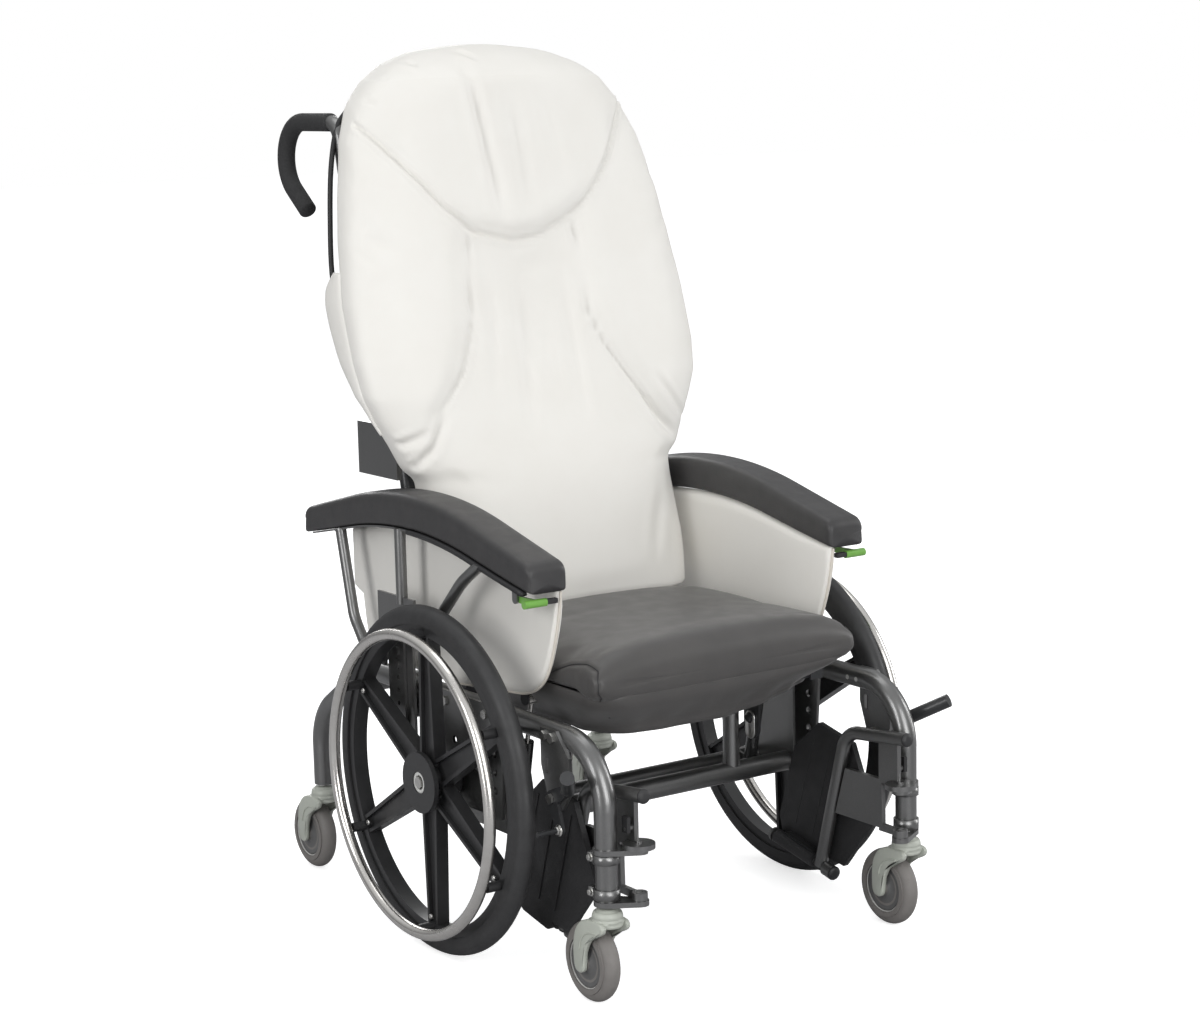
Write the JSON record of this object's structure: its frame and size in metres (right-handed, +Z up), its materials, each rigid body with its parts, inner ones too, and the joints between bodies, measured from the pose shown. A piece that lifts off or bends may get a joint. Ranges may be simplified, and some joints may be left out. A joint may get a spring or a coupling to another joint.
{
  "type": "tilt in space wheelchair",
  "caption": "Manual tilt in space wheelchair with mid drive wheels, casters, high cushioned back, height set arms and footrests swung back.",
  "frame": {"origin": "on the floor, under the centre of the chair's bounding box", "axes": "+Z up, -Y towards the front of the chair, +X towards the sitter's left"},
  "size_m": [0.837, 1.0526, 1.461],
  "materials": {
    "frame_paint": "metallic graphite, satin",
    "dark_steel": "black semi-gloss",
    "zinc": "zinc plated",
    "stainless": "brushed stainless",
    "cream_vinyl": "matt coated fabric with fine grain",
    "grey_vinyl": "matt coated fabric",
    "shell_plastic": "black, fine texture",
    "pad_foam": "textured integral foam",
    "grip_foam": "closed cell foam",
    "wheel_plastic": "glass filled nylon",
    "grey_tyre": "solid grey polyurethane",
    "caster_fork": "light green grey powder coat",
    "caster_wheel": "grey tyre on a darker hub",
    "lever_green": "bright green",
    "footplate_plastic": "black ribbed nylon",
    "gas_cylinder": "black gloss"
  },
  "bodies": {
    "base": {"side_frame_left": "frame_paint", "side_frame_right": "frame_paint", "cross_frame": "frame_paint", "rear_cross_tube": "frame_paint", "axle_plate_left": "frame_paint", "axle_plate_right": "frame_paint", "wheel_axles": "zinc", "tilt_bearings": "dark_steel", "wheel_lock_brackets": "frame_paint", "frame_bolts": "zinc"},
    "seat": {"seat_frame": "dark_steel", "torque_tube": "zinc", "seat_side_plate_left": "frame_paint", "seat_side_plate_right": "frame_paint", "seat_pan": "shell_plastic", "seat_cushion": "grey_vinyl", "seat_skirt": "grey_vinyl", "back_tube_left": "frame_paint", "back_tube_right": "frame_paint", "push_grip_left": "grip_foam", "push_grip_right": "grip_foam", "back_frame": "dark_steel", "back_shell": "shell_plastic", "back_cover": "cream_vinyl", "back_clamp_left": "frame_paint", "back_clamp_right": "frame_paint"},
    "arm_left": {"arm_frame_left": "frame_paint", "arm_pad_left": "pad_foam", "side_panel_left": "cream_vinyl"},
    "arm_release_left": {"arm_lever_left": "lever_green"},
    "strut_left": {"strut_cylinder_left": "gas_cylinder"},
    "strut_piston_left": {"strut_rod_left": "stainless"},
    "drive_left": {"drive_wheel_left": "wheel_plastic", "drive_tyre_left": "grey_tyre", "hand_rim_left": "stainless"},
    "caster_front_left": {"caster_fork_front_left": "caster_fork"},
    "caster_roller_front_left": {"caster_wheel_front_left": "caster_wheel"},
    "caster_rear_left": {"caster_fork_rear_left": "caster_fork"},
    "caster_roller_rear_left": {"caster_wheel_rear_left": "caster_wheel"},
    "lock_left": {"wheel_lock_left": "dark_steel"},
    "footrest_left": {"hanger_left": "frame_paint"},
    "footplate_left": {"footplate_left": "footplate_plastic"},
    "latch_left": {"hanger_latch_left": "footplate_plastic"},
    "arm_right": {"arm_frame_right": "frame_paint", "arm_pad_right": "pad_foam", "side_panel_right": "cream_vinyl"},
    "arm_release_right": {"arm_lever_right": "lever_green"},
    "strut_right": {"strut_cylinder_right": "gas_cylinder"},
    "strut_piston_right": {"strut_rod_right": "stainless"},
    "drive_right": {"drive_wheel_right": "wheel_plastic", "drive_tyre_right": "grey_tyre", "hand_rim_right": "stainless"},
    "caster_front_right": {"caster_fork_front_right": "caster_fork"},
    "caster_roller_front_right": {"caster_wheel_front_right": "caster_wheel"},
    "caster_rear_right": {"caster_fork_rear_right": "caster_fork"},
    "caster_roller_rear_right": {"caster_wheel_rear_right": "caster_wheel"},
    "lock_right": {"wheel_lock_right": "dark_steel"},
    "footrest_right": {"hanger_right": "frame_paint"},
    "footplate_right": {"footplate_right": "footplate_plastic"},
    "latch_right": {"hanger_latch_right": "footplate_plastic"}
  },
  "joints": [
    {"name": "seat_tilt", "type": "hinge", "parent": "base", "child": "seat", "pos_m": [0, 0.07667, 0.37], "axis": [-1, 0, 0], "range_deg": [0, 25]},
    {"name": "arm_left_height", "type": "slide", "parent": "seat", "child": "arm_left", "axis": [0, 0, 1], "range_m": [-0.044, 0]},
    {"name": "arm_lever_left_press", "type": "hinge", "parent": "arm_left", "child": "arm_release_left", "pos_m": [0.316, -0.27432, 0.606], "axis": [1, 0, 0], "range_deg": [0, 8], "stiffness_Nm_per_rad": 2, "springref_deg": -5.73},
    {"name": "strut_left_swing", "type": "hinge", "parent": "base", "child": "strut_left", "pos_m": [0.235, -0.13332, 0.21], "axis": [-1, 0, 0], "range_deg": [0, 12.2]},
    {"name": "strut_left_extend", "type": "slide", "parent": "strut_left", "child": "strut_piston_left", "axis": [0, -0.2095, 0.9778], "range_m": [0, 0.0992]},
    {"name": "drive_left_roll", "type": "hinge", "parent": "base", "child": "drive_left", "pos_m": [0.362, -0.07833, 0.285], "axis": [1, 0, 0], "continuous": true},
    {"name": "caster_front_left_swivel", "type": "hinge", "parent": "base", "child": "caster_front_left", "pos_m": [0.298, -0.47032, 0.15], "axis": [0, 0, 1], "continuous": true},
    {"name": "caster_front_left_roll", "type": "hinge", "parent": "caster_front_left", "child": "caster_roller_front_left", "pos_m": [0.298, -0.42833, 0.0635], "axis": [1, 0, 0], "continuous": true},
    {"name": "caster_rear_left_swivel", "type": "hinge", "parent": "base", "child": "caster_rear_left", "pos_m": [0.298, 0.41368, 0.15], "axis": [0, 0, 1], "continuous": true},
    {"name": "caster_rear_left_roll", "type": "hinge", "parent": "caster_rear_left", "child": "caster_roller_rear_left", "pos_m": [0.298, 0.45567, 0.0635], "axis": [1, 0, 0], "continuous": true},
    {"name": "wheel_lock_left_turn", "type": "hinge", "parent": "base", "child": "lock_left", "pos_m": [0.325, -0.37033, 0.312], "axis": [1, 0, 0], "range_deg": [0, 25]},
    {"name": "footrest_left_swing", "type": "hinge", "parent": "base", "child": "footrest_left", "pos_m": [0.259, -0.50133, 0.25], "axis": [0, 0, 1], "range_deg": [0, 180]},
    {"name": "footplate_left_flip", "type": "hinge", "parent": "footrest_left", "child": "footplate_left", "pos_m": [0.26, -0.24932, 0.084], "axis": [0, 0.9801, 0.1986], "range_deg": [0, 90]},
    {"name": "hanger_latch_left_press", "type": "hinge", "parent": "footrest_left", "child": "latch_left", "pos_m": [0.274, -0.49033, 0.282], "axis": [-1, 0, 0], "range_deg": [0, 10], "stiffness_Nm_per_rad": 0.5, "springref_deg": -2.86},
    {"name": "arm_right_height", "type": "slide", "parent": "seat", "child": "arm_right", "axis": [0, 0, 1], "range_m": [-0.044, 0]},
    {"name": "arm_lever_right_press", "type": "hinge", "parent": "arm_right", "child": "arm_release_right", "pos_m": [-0.316, -0.27432, 0.606], "axis": [1, 0, 0], "range_deg": [0, 8], "stiffness_Nm_per_rad": 2, "springref_deg": -5.73},
    {"name": "strut_right_swing", "type": "hinge", "parent": "base", "child": "strut_right", "pos_m": [-0.235, -0.13332, 0.21], "axis": [-1, 0, 0], "range_deg": [0, 12.2]},
    {"name": "strut_right_extend", "type": "slide", "parent": "strut_right", "child": "strut_piston_right", "axis": [0, -0.2095, 0.9778], "range_m": [0, 0.0992]},
    {"name": "drive_right_roll", "type": "hinge", "parent": "base", "child": "drive_right", "pos_m": [-0.362, -0.07833, 0.285], "axis": [1, 0, 0], "continuous": true},
    {"name": "caster_front_right_swivel", "type": "hinge", "parent": "base", "child": "caster_front_right", "pos_m": [-0.298, -0.47032, 0.15], "axis": [0, 0, 1], "continuous": true},
    {"name": "caster_front_right_roll", "type": "hinge", "parent": "caster_front_right", "child": "caster_roller_front_right", "pos_m": [-0.298, -0.42833, 0.0635], "axis": [1, 0, 0], "continuous": true},
    {"name": "caster_rear_right_swivel", "type": "hinge", "parent": "base", "child": "caster_rear_right", "pos_m": [-0.298, 0.41368, 0.15], "axis": [0, 0, 1], "continuous": true},
    {"name": "caster_rear_right_roll", "type": "hinge", "parent": "caster_rear_right", "child": "caster_roller_rear_right", "pos_m": [-0.298, 0.45567, 0.0635], "axis": [1, 0, 0], "continuous": true},
    {"name": "wheel_lock_right_turn", "type": "hinge", "parent": "base", "child": "lock_right", "pos_m": [-0.325, -0.37033, 0.312], "axis": [1, 0, 0], "range_deg": [0, 25]},
    {"name": "footrest_right_swing", "type": "hinge", "parent": "base", "child": "footrest_right", "pos_m": [-0.259, -0.50133, 0.25], "axis": [0, 0, -1], "range_deg": [0, 180]},
    {"name": "footplate_right_flip", "type": "hinge", "parent": "footrest_right", "child": "footplate_right", "pos_m": [-0.26, -0.24932, 0.084], "axis": [0, -0.9801, -0.1986], "range_deg": [0, 90]},
    {"name": "hanger_latch_right_press", "type": "hinge", "parent": "footrest_right", "child": "latch_right", "pos_m": [-0.274, -0.49033, 0.282], "axis": [-1, 0, 0], "range_deg": [0, 10], "stiffness_Nm_per_rad": 0.5, "springref_deg": -2.86}
  ],
  "couplings": [
    {"joint": "strut_left_swing", "follows": "seat_tilt", "ratio": 0.484},
    {"joint": "strut_left_extend", "follows": "seat_tilt", "m_per_rad": 0.2252},
    {"joint": "footplate_left_flip", "follows": "footrest_left_swing", "ratio": 0.5},
    {"joint": "strut_right_swing", "follows": "seat_tilt", "ratio": 0.484},
    {"joint": "strut_right_extend", "follows": "seat_tilt", "m_per_rad": 0.2252},
    {"joint": "footplate_right_flip", "follows": "footrest_right_swing", "ratio": 0.5}
  ]
}
